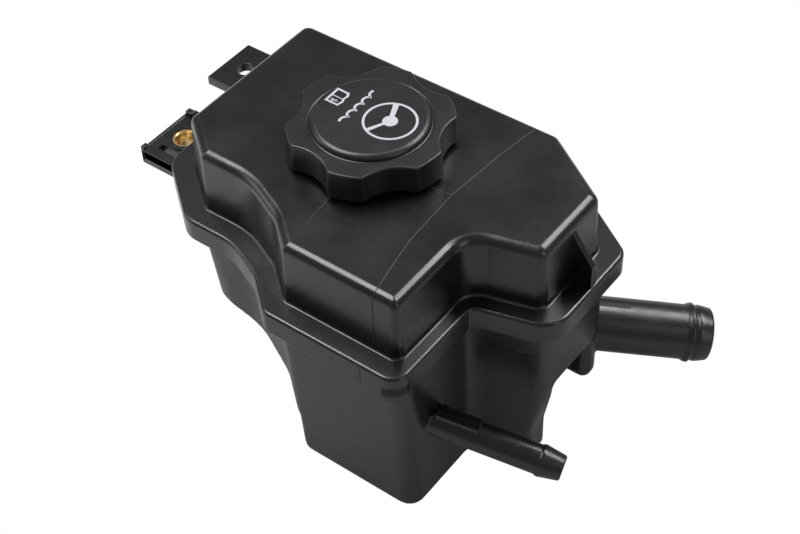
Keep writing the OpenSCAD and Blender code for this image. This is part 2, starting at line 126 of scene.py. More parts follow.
def lower_outline(foot):
    reach = FOOT_REACH if foot else [LOWER_STEP] * 11
    return outline(CORNERS, reach, followed(WALL_RADII, LOWER_STEP), 8)


def level(points, z):
    """Plan points lifted to a height."""
    return np.column_stack((points, np.full(len(points), z)))


def circle_like(points, radius):
    """Circle with one point in the direction of each outline point, so that the two join without crossing."""
    angles = np.arctan2(points[:, 1], points[:, 0])
    return np.column_stack((np.cos(angles), np.sin(angles))) * radius


# Meshes

def new_piece(name, points, faces, material, body, smooth=True, slot=None):
    """A mesh object from points in mm that rides on a body."""
    mesh = bpy.data.meshes.new(name)
    mesh.from_pydata([tuple(p) for p in (np.asarray(points, float) - ORIGIN) * MM], [], faces)
    mesh.validate()
    piece = bpy.data.objects.new(name, mesh)
    bpy.context.scene.collection.objects.link(piece)
    mesh.materials.append(material)
    mesh.polygons.foreach_set("use_smooth", [smooth] * len(mesh.polygons))
    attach(piece, body)
    return piece


def weighted(piece, sharp=None):
    """Flat faces stay flat beside rounded edges. Edges steeper than the sharp angle break the shading."""
    if sharp is not None:
        work = bmesh.new()
        work.from_mesh(piece.data)
        for edge in work.edges:
            edge.smooth = len(edge.link_faces) == 2 and edge.calc_face_angle(0) < math.radians(sharp)
        work.to_mesh(piece.data)
        work.free()
    normals = piece.modifiers.new("normals", "WEIGHTED_NORMAL")
    normals.keep_sharp = True
    normals.weight = 80
    return piece


def soften(piece, width, angle=35, segments=3):
    """Rounds the edges that are steeper than an angle; width in mm."""
    bevel = piece.modifiers.new("edges", "BEVEL")
    bevel.width = width * MM
    bevel.segments = segments
    bevel.limit_method = "ANGLE"
    bevel.angle_limit = math.radians(angle)
    bevel.use_clamp_overlap = True
    bevel.harden_normals = False
    return weighted(piece)


def ring_stack(rings, closed=False, foot_cap=False, top_cap=False):
    """Points and quads through a list of rings with the same number of points."""
    n = len(rings[0])
    points = np.concatenate(rings)
    faces = []
    for k in range(len(rings) if closed else len(rings) - 1):
        a, b = k * n, ((k + 1) % len(rings)) * n
        faces += [(a + i, a + (i + 1) % n, b + (i + 1) % n, b + i) for i in range(n)]
    if foot_cap:
        faces.append(tuple(reversed(range(n))))
    if top_cap:
        faces.append(tuple(range((len(rings) - 1) * n, len(rings) * n)))
    return points, faces


def lathe(profile, segments=72, closed=True):
    """Points and faces of a turned form about Z from [radius, height] pairs."""
    angles = np.arange(segments) * 2 * math.pi / segments
    rings = [np.column_stack((r * np.cos(angles), r * np.sin(angles), np.full(segments, z))) for r, z in profile]
    return ring_stack(rings, closed=closed)


def arc_profile(centre, radius, start, end, steps=5):
    """Points on an arc of a profile, angles in degrees."""
    angles = np.radians(np.linspace(start, end, steps + 1))
    return [(centre[0] + radius * math.cos(a), centre[1] + radius * math.sin(a)) for a in angles]


def prism(loops, low, high):
    """Solid plate from an outer loop and its holes, between two heights."""
    flat = [tuple(p) for loop in loops for p in loop]
    triangles = tessellate_polygon([[Vector((x, y, 0)) for x, y in loop] for loop in loops])
    count = len(flat)
    points = [(x, y, low) for x, y in flat] + [(x, y, high) for x, y in flat]
    faces = []
    for a, b, c in triangles:
        turn = np.cross(np.subtract(flat[b], flat[a]), np.subtract(flat[c], flat[a]))
        if turn < 0:
            b, c = c, b
        faces += [(c, b, a), (count + a, count + b, count + c)]
    start = 0
    for number, loop in enumerate(loops):
        n = len(loop)
        area = sum(loop[i][0] * loop[(i + 1) % n][1] - loop[(i + 1) % n][0] * loop[i][1] for i in range(n))
        forward = (area > 0) == (number == 0)
        for i in range(n):
            a, b = start + i, start + (i + 1) % n
            faces.append((a, b, count + b, count + a) if forward else (b, a, count + a, count + b))
        start += n
    return np.array(points), faces


def circle(x, y, radius, count=32):
    return [(x + radius * math.cos(2 * math.pi * k / count), y + radius * math.sin(2 * math.pi * k / count))
            for k in range(count)]


def box_loop(x0, y0, x1, y1):
    return [(x0, y0), (x1, y0), (x1, y1), (x0, y1)]


def aimed(points, root, swing, dip):
    """Points of a form about Z, moved so that its Z runs from the root in a stub's direction."""
    s, d = math.radians(swing), math.radians(dip)
    way = np.array((math.cos(s) * math.cos(d), math.sin(s) * math.cos(d), -math.sin(d)))
    side = np.array((-math.sin(s), math.cos(s), 0))
    up = np.cross(way, side)
    points = np.asarray(points, float)
    return np.array(root) + points[:, :1] * side + points[:, 1:2] * up + points[:, 2:] * way


# Fields: distances that blend into moulded fillets, and their surface as quads

def polygon_distance(x, y, polygon):
    """Signed distance to a closed polygon, negative inside."""
    x, y = np.broadcast_arrays(x, y)
    best = np.full(x.shape, 1e12)
    inside = np.zeros(x.shape, bool)
    for (x1, y1), (x2, y2) in zip(polygon, np.roll(polygon, -1, axis=0)):
        ex, ey = x2 - x1, y2 - y1
        px, py = x - x1, y - y1
        along = np.clip((px * ex + py * ey) / (ex * ex + ey * ey), 0, 1)
        best = np.minimum(best, (px - along * ex) ** 2 + (py - along * ey) ** 2)
        if y1 != y2:
            inside ^= ((y1 > y) != (y2 > y)) & (px < py * ex / ey)
    return np.where(inside, -1.0, 1.0) * np.sqrt(best)


def both(a, b, radius):
    """Intersection with a rounded edge."""
    return np.minimum(-radius, np.maximum(a, b)) + np.hypot(np.maximum(radius + a, 0), np.maximum(radius + b, 0))


def either(a, b, radius):
    """Union with a filleted corner."""
    return np.maximum(radius, np.minimum(a, b)) - np.hypot(np.maximum(radius - a, 0), np.maximum(radius - b, 0))


def surface_net(low, high, step, field):
    """Points and quads on a field's zero surface: one point in each grid cell that it passes through."""
    axes = [np.arange(low[k], high[k] + step, step) for k in range(3)]
    values = field(axes[0][:, None, None], axes[1][None, :, None], axes[2][None, None, :])
    inside = values < 0
    shape = np.array(values.shape) - 1

    def corner(array, i, j, k):
        return array[i:i + shape[0], j:j + shape[1], k:k + shape[2]]

    filled = sum(corner(inside, i, j, k).astype(np.int8) for i in (0, 1) for j in (0, 1) for k in (0, 1))
    cells = np.argwhere((filled > 0) & (filled < 8))
    index = np.full(shape, -1)
    index[tuple(cells.T)] = np.arange(len(cells))
    total, hits = np.zeros((len(cells), 3)), np.zeros(len(cells))
    for axis in range(3):
        for i in (0, 1):
            for j in (0, 1):
                start = np.insert(np.array((i, j)), axis, 0)
                end = start + np.eye(3, dtype=int)[axis]
                va = values[tuple((cells + start).T)]
                vb = values[tuple((cells + end).T)]
                cross = (va < 0) != (vb < 0)
                share = np.where(cross, va / np.where(cross, va - vb, 1), 0)
                total += np.where(cross[:, None], cells + start + share[:, None] * np.eye(3)[axis], 0)
                hits += cross
    points = np.array([a[0] for a in axes]) + total / hits[:, None] * step
    quads = []
    for axis in range(3):
        u, v = [k for k in range(3) if k != axis]
        near = np.moveaxis(inside, axis, 0)
        change = np.argwhere(near[:-1] != near[1:])
        nodes = np.zeros_like(change)
        nodes[:, axis], nodes[:, u], nodes[:, v] = change[:, 0], change[:, 1], change[:, 2]
        keep = (nodes[:, u] > 0) & (nodes[:, v] > 0) & (nodes[:, u] < shape[u]) & (nodes[:, v] < shape[v])
        nodes = nodes[keep]
        du, dv = np.eye(3, dtype=int)[u], np.eye(3, dtype=int)[v]
        loop = np.stack([index[tuple((nodes - a * du - b * dv).T)] for a, b in ((0, 0), (1, 0), (1, 1), (0, 1))], 1)
        out = inside[tuple(nodes.T)] ^ (axis == 1)
        loop[~out] = loop[~out][:, ::-1]
        quads.append(loop)
    for _ in range(3):
        d = 0.05
        here = field(*points.T)
        slope = np.stack([(field(*(points + d * np.eye(3)[k]).T) - here) / d for k in range(3)], 1)
        points = points - slope * (here / np.maximum((slope ** 2).sum(1), 0.25))[:, None]
    return points, [tuple(q) for q in np.concatenate(quads).tolist()]


# Materials

def new_material(name):
    """An empty node material and its main nodes."""
    material = bpy.data.materials.new(name)
    material.use_nodes = True
    nodes = material.node_tree.nodes
    return material, nodes, material.node_tree.links, nodes["Principled BSDF"]


def add_node(nodes, kind, **values):
    """A shader node with its sockets set by name."""
    node = nodes.new(kind)
    for name, value in values.items():
        node.inputs[name.replace("_", " ")].default_value = value
    return node


def moulded_plastic(name, colour, roughness, grain=0.35, scuffs=0.0):
    """Black moulded plastic: spark-eroded grain, faint clouds, and level scuff marks where they are asked for."""
    material, nodes, links, shader = new_material(name)
    where = nodes.new("ShaderNodeTexCoord")
    clouds = add_node(nodes, "ShaderNodeTexNoise", Scale=38.0, Detail=5.0, Roughness=0.6)
    fine = add_node(nodes, "ShaderNodeTexNoise", Scale=1400.0, Detail=2.5, Roughness=0.6)
    links.new(where.outputs["Object"], clouds.inputs["Vector"])
    links.new(where.outputs["Object"], fine.inputs["Vector"])
    stretch = add_node(nodes, "ShaderNodeMapping", Scale=(35.0, 35.0, 650.0))
    links.new(where.outputs["Object"], stretch.inputs["Vector"])
    streaks = add_node(nodes, "ShaderNodeTexNoise", Scale=1.0, Detail=4.0, Roughness=0.65)
    links.new(stretch.outputs["Vector"], streaks.inputs["Vector"])
    blend = nodes.new("ShaderNodeMix")
    blend.inputs["Factor"].default_value = scuffs
    links.new(clouds.outputs["Fac"], blend.inputs["A"])
    links.new(streaks.outputs["Fac"], blend.inputs["B"])
    tint = nodes.new("ShaderNodeValToRGB")
    tint.color_ramp.elements[0].position = 0.3
    tint.color_ramp.elements[0].color = (*[c * 0.75 for c in colour], 1)
    tint.color_ramp.elements[1].position = 0.7
    tint.color_ramp.elements[1].color = (*[c * 1.3 for c in colour], 1)
    links.new(blend.outputs["Result"], tint.inputs["Fac"])
    links.new(tint.outputs["Color"], shader.inputs["Base Color"])
    rough = nodes.new("ShaderNodeMapRange")
    rough.inputs["From Min"].default_value = 0.3
    rough.inputs["From Max"].default_value = 0.7
    rough.inputs["To Min"].default_value = roughness - 0.05 - 0.06 * scuffs
    rough.inputs["To Max"].default_value = roughness + 0.05 + 0.06 * scuffs
    links.new(blend.outputs["Result"], rough.inputs["Value"])
    links.new(rough.outputs["Result"], shader.inputs["Roughness"])
    bump = add_node(nodes, "ShaderNodeBump", Strength=grain, Distance=0.0001)
    links.new(fine.outputs["Fac"], bump.inputs["Height"])
    links.new(bump.outputs["Normal"], shader.inputs["Normal"])
    shader.inputs["Specular IOR Level"].default_value = 0.8
    return material


def brass(name):
    """Turned brass with fine rings and a slight tarnish."""
    material, nodes, links, shader = new_material(name)
    where = nodes.new("ShaderNodeTexCoord")
    rings = add_node(nodes, "ShaderNodeTexWave", Scale=900.0, Distortion=0.6, Detail=2.0)
    rings.wave_type = "RINGS"
    rings.rings_direction = "Z"
    stain = add_node(nodes, "ShaderNodeTexNoise", Scale=400.0, Detail=3.0)
    links.new(where.outputs["Object"], rings.inputs["Vector"])
    links.new(where.outputs["Object"], stain.inputs["Vector"])
    tint = nodes.new("ShaderNodeValToRGB")
    tint.color_ramp.elements[0].color = (0.72, 0.48, 0.20, 1)
    tint.color_ramp.elements[1].color = (0.98, 0.78, 0.42, 1)
    links.new(stain.outputs["Fac"], tint.inputs["Fac"])
    links.new(tint.outputs["Color"], shader.inputs["Base Color"])
    bump = add_node(nodes, "ShaderNodeBump", Strength=0.15, Distance=0.00004)
    links.new(rings.outputs["Fac"], bump.inputs["Height"])
    links.new(bump.outputs["Normal"], shader.inputs["Normal"])
    shader.inputs["Metallic"].default_value = 1.0
    shader.inputs["Roughness"].default_value = 0.3
    return material


def print_ink(name):
    """White pad print with slightly uneven cover."""
    material, nodes, links, shader = new_material(name)
    where = nodes.new("ShaderNodeTexCoord")
    cover = add_node(nodes, "ShaderNodeTexNoise", Scale=900.0, Detail=3.0)
    links.new(where.outputs["Object"], cover.inputs["Vector"])
    tint = nodes.new("ShaderNodeValToRGB")
    tint.color_ramp.elements[0].color = (0.50, 0.51, 0.57, 1)
    tint.color_ramp.elements[1].color = (0.68, 0.70, 0.77, 1)
    links.new(cover.outputs["Fac"], tint.inputs["Fac"])
    links.new(tint.outputs["Color"], shader.inputs["Base Color"])
    shader.inputs["Roughness"].default_value = 0.55
    return material


def dress(node, material):
    """Gives a carried-over node its material."""
    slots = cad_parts[node].data.materials
    slots.clear()
    slots.append(material)


# Upper shell

def upper_shell(material):
    """Walls, flange and skirt as one closed skin with rounded edges and filleted feet."""
    flange, body = flange_outline, body_outline
    rings = [level(flange(-2.4), WELD), level(flange(-2.4), 75.8), level(flange(-2.0), SKIRT_FOOT),
             level(flange(-0.5), SKIRT_FOOT), level(flange(-0.15), 75.55), level(flange(0), 75.9)]
    for a in np.radians(np.linspace(0, 90, 6)):
        rings.append(level(flange(-1.4 * (1 - math.cos(a))), FLANGE_TOP - 1.4 * (1 - math.sin(a))))
    for a in np.radians(np.linspace(0, 90, 5)):
        rings.append(level(body(1.1 * (1 - math.sin(a))), FLANGE_TOP + 1.1 * (1 - math.cos(a))))
    for a in np.radians(np.linspace(0, 90, 12)):
        rings.append(level(body(-0.7 - TOP_ROUND * (1 - math.cos(a))), TOP - TOP_ROUND * (1 - math.sin(a))))
    edge = body(-0.7 - TOP_ROUND)
    for r, z in ((22.0, TOP), (21.5, TOP + 0.4), (21.3, TOP + 1.0), (19.4, TOP + 1.0), (19.4, 120.6), (19.0, 121.0),
                 (16.9, 121.0), (16.5, 120.6), (16.5, TOP - 2.6)):
        rings.append(level(circle_like(edge, r), z))
    rings += [level(body(-2.95), TOP - 2.6), level(body(-2.95), WELD)]
    piece = new_piece("upper_skin", *ring_stack(rings, closed=True), material, "housing", slot="housing")
    weighted(piece, sharp=40)
    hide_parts("upper_shell")
    return piece


def gusset(material):
    """Triangular stiffener between the right wall and the flange, with the small step on its outer edge."""
    loop = [(80.9, 84), (90.4, 84), (90.4, 95.2), (81.2, 108)]
    points, faces = prism([loop], 7.8, 10.2)
    points = points[:, [0, 2, 1]]
    piece = new_piece("wall_gusset", points, [f[::-1] for f in faces], material, "housing", slot="housing")
    soften(piece, 0.35)
    points, faces = prism([box_loop(88.4, 84.5, 90.2, 92.4)], 10.0, 11.6)
    step = new_piece("gusset_step", points[:, [0, 2, 1]], [f[::-1] for f in faces], material, "housing",
                     slot="housing")
    soften(step, 0.3)


def ribbon(name, path, normals, width, lift, material):
    """A narrow strip that lies on a surface along a path."""
    path, normals = np.array(path, float), np.array(normals, float)
    normals /= np.linalg.norm(normals, axis=1)[:, None]
    along = np.gradient(path, axis=0)
    side = np.cross(normals, along)
    side /= np.linalg.norm(side, axis=1)[:, None]
    left, right = path + normals * lift - side * width / 2, path + normals * lift + side * width / 2
    n = len(path)
    faces = [(i, n + i, n + i + 1, i + 1) for i in range(n - 1)]
    return new_piece(name, np.concatenate((left, right)), faces, material, "housing")


def parting_line(light, shade_paint):
    """Fine mould line across the top, down the front wall and over the flange's edge. Its lighter colour along the top
    is a painted highlight, and its near-black down the wall and over the flange is painted shade.
    """
    top = [(43.0, 41.6, TOP), (41.8, 33, TOP), (40.5, 23, TOP), (39.5, 9, TOP), (38.5, -4.1, TOP), (39.1, -17, TOP),
           (39.8, -30.7, TOP), (42.0, -43, TOP), (44.3, -54.2, TOP)]
    up = [(0, 0, 1)]
    # Painted highlight: the line on the top takes the lighter plastic
    ribbon("mould_line_top", top, up * len(top), 0.28, 0.03, light)
    ribbon("mould_line_branch", [(38.5, -4.1, TOP), (34.5, -4.5, TOP), (30, -5, TOP)], up * 3, 0.22, 0.03, light)
    front, out = -59.3, []
    path = [(44.4, front + 0.9 + TOP_ROUND, TOP)]
    out.append((0, 0, 1))
    for a in np.radians(np.linspace(80, 0, 8)):
        path.append((44.5, front + 0.7 + TOP_ROUND * (1 - math.cos(a)), TOP - TOP_ROUND * (1 - math.sin(a))))
        out.append((0, -math.cos(a), math.sin(a)))
    path += [(44.5, front + 0.4, 100), (44.7, front + 0.1, 92), (44.7, front, 86.3)]
    out += [(0, -1, 0)] * 3
    # Painted shade: the line down the front wall and over the flange takes the near-black plastic
    ribbon("mould_line_front", path, out, 0.3, 0.09, shade_paint)
    edge = front - 9
    path = [(44.7, edge + 1.4, FLANGE_TOP), (44.7, edge + 0.4, 84.6), (44.7, edge, 83.6), (44.9, edge, 80),
            (45.2, edge, 76)]
    ribbon("mould_line_flange", path, [(0, 0, 1), (0, -0.7, 0.7), (0, -1, 0), (0, -1, 0), (0, -1, 0)], 0.3, 0.05,
           shade_paint)


# Lower shell

def chamber_polygon():
    points = [(-110, 120), (-110, 44), (-45, 36.5), (-26, 31), (4.5, 21.5), (38, 21.5), (60, 41), (120, 41),
              (120, 120)]
    return outline(points, [0] * 9, [1, 4, 10, 25, 8, 8, 8, 1, 1])


def sump_polygon():
    points = [(4.5, 46), (4.5, 0), (80.5, 0), (80.5, 17), (85.7, 41), (85.7, 46)]
    return outline(points, [0] * 6, [1, 4, 4, 16, 12, 1])


def lower_field():
    """Distance field of the lower shell's outside with the roots of its stubs."""
    foot, rim = lower_outline(True), lower_outline(False)
    chamber, sump = chamber_polygon(), sump_polygon()
    plan = outline([(3.5, -80), (120, -80), (120, -5), (82.2, -5), (64, 14), (3.5, 14)], [0] * 6,
                   [1, 1, 0.6, 12, 3, 1])
    well = outline([(45, 19.5), (82.2, 19.5), (82.2, 25.9), (51.7, 45.7), (45, 45.7)], [0, 2.3, 2.3, 2.3, 0],
                   [4.5, 3.5, 5, 6, 1.5])
    collar = flange_outline(-2.7, spacing=0)

    def stub(x, y, z, root, swing, dip, radius, start, end):
        s, d = math.radians(swing), math.radians(dip)
        way = np.array((math.cos(s) * math.cos(d), math.sin(s) * math.cos(d), -math.sin(d)))
        px, py, pz = x - root[0], y - root[1], z - root[2]
        along = px * way[0] + py * way[1] + pz * way[2]
        away = np.sqrt(np.maximum(px * px + py * py + pz * pz - along * along, 0)) - radius
        return np.maximum(away, np.maximum(start - along, along - end))

    def field(x, y, z):
        share = np.clip(z / WELD, 0, 1)
        walls = polygon_distance(x, y, foot) * (1 - share) + polygon_distance(x, y, rim) * share
        under = either(polygon_distance(x, z, chamber),
                       both(polygon_distance(x, y, plan), polygon_distance(x, z, sump), 1.0), 2.0)
        body = both(walls, under, 1.6)
        leg = both(both(polygon_distance(x, y, well), 19 - z, 3.0), z - 49, 0.5)
        body = either(body, leg, 1.2)
        lip = np.maximum(polygon_distance(x, y, collar), np.maximum(76.2 - z, z - 90))
        body = np.maximum(either(body, lip, 0.4), z - 80.4)
        body = either(body, stub(x, y, z, FEED_ROOT, 36, 9.4, 10.6, -5, 5), 1.2)
        body = either(body, stub(x, y, z, RETURN_ROOT, 16.7, 9.8, 5.5, -2, 5), 1.2)
        body = np.maximum(body, -stub(x, y, z, FEED_ROOT, 36, 9.4, 8.3, -12, 60))
        return np.maximum(body, -stub(x, y, z, RETURN_ROOT, 16.7, 9.8, 4.0, -8, 60))

    return field


FEED_ROOT = (76.5, 33.2, 36.0)
RETURN_ROOT = (58.2, -42.7, 39.0)


def lower_shell(material):
    step = 1.0
    points, faces = surface_net((-81, -68, -1.3), (90, 54, 82), step, lower_field())
    piece = new_piece("lower_skin", points, faces, material, "housing", slot="housing")
    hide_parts("lower_shell")
    return piece


def flange_corner(material):
    """Deeper block of the skirt under the flange's front corner."""
    arc = slice(5 * (ARC_STEPS + 1), 6 * (ARC_STEPS + 1))
    outer = flange_outline(0.0, spacing=0)[arc]
    inner = flange_outline(-4.5, spacing=0)[arc]
    soften(new_piece("corner_block", *prism([[tuple(p) for p in np.concatenate((outer, inner[::-1]))]], 72.9, 80.2),
                     material, "housing", slot="housing"), 0.3)


def feed_stub(material, shade_paint):
    """Large hose stub: ramped bead with a groove behind it, rounded mouth, and a near-black sheet near its root that is
    painted shade in place of its slot.
    """
    r = 10.8
    profile = [(8.2, -4), (r, -4), (r, 36.8), (r + 0.2, 37.4), (r + 0.7, 38.5), (r + 0.88, 39.1), (r + 0.85, 39.6),
               (r + 0.6, 39.95), (r - 0.1, 40.2), (r - 0.35, 40.6), (r - 0.2, 41.1), (r + 0.15, 41.6), (r + 0.25, 42.2),
               (r + 0.05, 44.0), (r - 0.35, 45.8)]
    profile += arc_profile((r - 1.65, 46.2), 1.25, 5, 90, 5) + [(8.6, 47.5), (8.2, 47.1)]
    points, faces = lathe(profile, 96)
    piece = new_piece("feed_stub", aimed(points, FEED_ROOT, 36, 9.4), faces, material, "housing", slot="housing")
    weighted(piece, sharp=60)
    # Painted shade: a thin near-black sheet just over the stub's top stands for the shade inside the slot, which is not
    # cut
    angles = np.radians(90 + np.linspace(-8, 5, 8))
    path = [[(q * math.cos(a), q * math.sin(a), h) for a in angles] for h in (2.0, 14.2) for q in (r + 0.06,)]
    points = np.array(path[0] + path[1])
    faces = [(i, i + 1, i + 9, i + 8) for i in range(7)]
    new_piece("feed_slot_painted_shade", aimed(points, FEED_ROOT, 36, 9.4), faces, shade_paint, "housing")


def return_stub(material):
    """Small hose stub with a barbed end and the ribbed pad near its root."""
    r = 5.7
    profile = [(3.9, -3), (r, -3), (r, 39.8), (r + 0.45, 40.6), (r + 0.5, 41.4), (r + 0.35, 42.0), (4.9, 48.9),
               (4.6, 49.3), (4.3, 49.5), (4.1, 49.5), (3.9, 49.3)]
    points, faces = lathe(profile, 72)
    piece = new_piece("return_stub", aimed(points, RETURN_ROOT, 16.7, 9.8), faces, material, "housing",
                      slot="housing")
    weighted(piece, sharp=30)
    pad = [(-3.1, 4.6), (-3.1, 7.0), (-2.2, 7.0), (-2.0, 6.3), (-1.2, 6.3), (-1.0, 7.2), (0.9, 7.2), (1.1, 6.0),
           (2.0, 6.0), (2.2, 6.7), (3.1, 6.5), (3.1, 4.6)]
    points, faces = prism([pad[::-1]], 0, 16.5)
    soften(new_piece("return_pad", aimed(points, RETURN_ROOT, 16.7, 9.8), faces, material, "housing",
                     slot="housing"), 0.15, 30, 2)


def fixing_lugs(material):
    """Lug with the bush's boss, slot and end posts, and the plain tab, with their ribs."""
    plates = [
        ("bush_plate", [box_loop(-100.8, -21.7, -66.5, 9.0), circle(-92, -6.2, 5.6, 48),
                        box_loop(-97.2, -17.2, -78.5, -14.4)], 71.0, LUG_TOP),
        ("bush_boss", [circle(-92, -6.2, 8.0, 48), circle(-92, -6.2, 5.6, 48)], 66.0, 71.5),
        ("bush_ring", [circle(-92, -6.2, 7.6, 48), circle(-92, -6.2, 5.6, 48)], 74.5, LUG_TOP + 0.5),
        ("front_skirt", [box_loop(-102.3, -21.7, -66.5, -19.9)], 68.2, LUG_TOP - 0.01),
        ("front_post", [box_loop(-102.3, -21.7, -100.6, -18.7)], 69.5, 76.6),
        ("rear_post", [box_loop(-101.8, 4.5, -98.4, 7.2)], 71.0, 77.0),
        ("outer_rib", [box_loop(-102.3, -21.7, -100.8, 7.2)], 71.0, 75.3),
        ("rear_rib", [box_loop(-92.8, 5.0, -66.5, 7.0)], 64.0, 71.5),
        ("tab_plate", [box_loop(-110.8, 28.3, -66.5, 54.7), circle(-100.8, 41.2, 3.6, 40)], 71.0, LUG_TOP),
        ("tab_rib", [box_loop(-94.8, 31.3, -66.5, 33.3)], 65.0, 71.5),
    ]
    for name, loops, low, high in plates:
        piece = new_piece(name, *prism(loops, low, high), material, "housing", smooth=True, slot="housing")
        soften(piece, 0.35, 40, 2)


def bush(material):
    """Turned brass bush with chamfered ends."""
    profile = [(3.3, 0.5), (3.8, 0), (5.0, 0), (5.5, 0.5), (5.5, 8.7), (5.3, 9.0), (4.6, 9.0), (4.2, 8.7), (4.0, 7.9),
               (3.4, 7.2), (3.3, 6.8)]
    points, faces = lathe([(r, z + LUG_TOP - 9) for r, z in profile], 64)
    points = points + np.array((-92, -6.2, 0))
    piece = new_piece("brass_bush", points, faces, material, "housing", slot="bush")
    weighted(piece, sharp=30)
    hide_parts("fixing_bush")


# Cap

def lobed(radius, inset):
    """Lobed plan of the cap, moved inward by an inset: six shallow finger scallops with crisp lobe corners."""
    angles = np.radians(np.arange(0, 360, 1.0))
    scallop, centre = 17.88, radius - 4.3 + 17.88
    reach = np.full(len(angles), radius)
    for k in range(6):
        off = angles - math.radians(-10.3 + (k + 0.5) * 60)
        near = centre * np.cos(off)
        inner = near - np.sqrt(np.maximum(scallop ** 2 - (centre * np.sin(off)) ** 2, 0))
        hit = (np.abs(centre * np.sin(off)) < scallop) & (np.cos(off) > 0)
        reach = np.where(hit & (inner < reach), inner, reach)
    kernel = np.array((1, 2, 1)) / 4
    reach = np.convolve(np.concatenate((reach[-1:], reach, reach[:1])), kernel, "valid")
    points = np.column_stack((np.cos(angles), np.sin(angles))) * reach[:, None]
    along = np.roll(points, -1, 0) - np.roll(points, 1, 0)
    along /= np.hypot(along[:, 0], along[:, 1])[:, None]
    return points - np.column_stack((along[:, 1], -along[:, 0])) * inset


def round_ring(radius, z):
    angles = np.radians(np.arange(0, 360, 1.0))
    return np.column_stack((np.cos(angles) * radius, np.sin(angles) * radius, np.full(360, z)))


def cap_body(material):
    """Lobed cap with a raised disc, and its hollow underside."""
    rings = [round_ring(0.5, 122.8), round_ring(20.4, 122.8), round_ring(20.4, 114.3), round_ring(20.8, CAP_FOOT),
             level(lobed(31.45, 0.5), CAP_FOOT), level(lobed(31.45, 0.1), CAP_FOOT + 0.15),
             level(lobed(31.45, 0.0), CAP_FOOT + 0.5)]
    for a in np.radians(np.linspace(0, 90, 5)):
        rings.append(level(lobed(31.0, 0.7 * (1 - math.cos(a))), CAP_TOP - 0.7 * (1 - math.sin(a))))
    rings += [round_ring(23.3, CAP_TOP), round_ring(22.95, CAP_TOP - 0.12), round_ring(22.6, CAP_TOP - 0.42),
              round_ring(22.25, CAP_TOP - 0.3), round_ring(22.2, CAP_TOP + 0.05)]
    for a in np.radians(np.linspace(8, 90, 8)):
        rings.append(round_ring(22.2 - 2.3 * (1 - math.cos(a)), CAP_TOP + 0.1 + 1.9 * math.sin(a)))
    rings += [round_ring(12, DISC_TOP), round_ring(0.5, DISC_TOP)]
    points, faces = ring_stack(rings, foot_cap=True, top_cap=True)
    piece = new_piece("cap_skin", points, faces, material, "closure", slot="cap")
    weighted(piece, sharp=55)
    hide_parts("cap")
    points, faces = lathe([(3.05, 116.8), (6.05, 116.8), (6.05, 122.9), (4.05, 122.9), (4.05, 119.8), (3.05, 119.8)],
                          48)
    weighted(new_piece("cap_socket", points, faces, material, "closure", slot="cap"), sharp=40)


def flat_print(name, loops, material, lift=0.0):
    """A thin layer of print on the cap's disc."""
    new_piece(name, *prism(loops, DISC_TOP - 0.02, DISC_TOP + 0.03 + lift), material, "closure", smooth=False,
              slot="cap")


def stroke(points, width):
    """Closed loop around an open line of the given width."""
    points = np.array(points, float)
    along = np.gradient(points, axis=0)
    along /= np.hypot(along[:, 0], along[:, 1])[:, None]
    side = np.column_stack((-along[:, 1], along[:, 0])) * width / 2
    return [tuple(p) for p in np.concatenate((points - side, (points + side)[::-1]))]


def cap_print(material):
    """Generic steering wheel, fluid wave and handbook signs."""
    centre = np.array((7.5, 1.7))
    flat_print("print_ring", [circle(*centre, 10.2, 72), circle(*centre, 9.25, 72)], material)
    flat_print("print_hub", [circle(*centre, 2.85, 40)], material)
    for number, (angle, near, far) in enumerate(((113, 1.8, 2.2), (-115, 1.2, 1.6))):
        a = math.radians(angle)
        way, side = np.array((math.cos(a), math.sin(a))), np.array((-math.sin(a), math.cos(a)))
        loop = [centre + way * r + side * w / 2 for r, w in ((2.6, -near), (9.6, -far), (9.6, far), (2.6, near))]
        flat_print("print_spoke_%d" % number, [[tuple(p) for p in loop]], material, 0.01)
    wave = []
    for k, (start, end) in enumerate(((0.33, 1), (0, 1), (0, 1), (0, 1), (0, 0.62))):
        for t in np.linspace(start, end, 13)[(0 if k == 0 else 1):]:
            wave.append((-5.9 - 2.0 * math.sin(math.pi * t), -7.3 + 4.45 * k - 2.22 * math.cos(math.pi * t)))
    flat_print("print_wave", [stroke(wave, 0.95)], material)
    for number, at in enumerate((wave[0], wave[-1])):
        flat_print("print_wave_end_%d" % number, [circle(*at, 0.55, 20)], material, 0.01)
    outer = [(-19.3, -2.4), (-19.5, 5.8), (-13.9, 5.7), (-13.0, 4.0), (-13.3, 1.8), (-12.7, 0.5), (-13.3, -2.4)]
    inner = [(-18.4, -1.6), (-18.5, 4.9), (-14.5, 4.8), (-13.9, 3.7), (-14.1, 1.8), (-13.6, 0.4), (-14.0, -1.6)]
    flat_print("print_book", [outer, inner], material)
    flat_print("print_book_fold", [box_loop(-18.9, 1.35, -13.8, 1.75)], material, 0.01)
    for number, (x, y, long, wide) in enumerate(((-17.3, -0.5, 0.5, 1.3), (-16.5, -0.7, 0.45, 1.5),
                                                 (-15.7, -0.4, 0.45, 1.2), (-15.0, -0.5, 0.35, 0.5))):
        flat_print("print_line_%d" % number, [box_loop(x - long / 2, y - wide / 2, x + long / 2, y + wide / 2)],
                   material)


# Stage

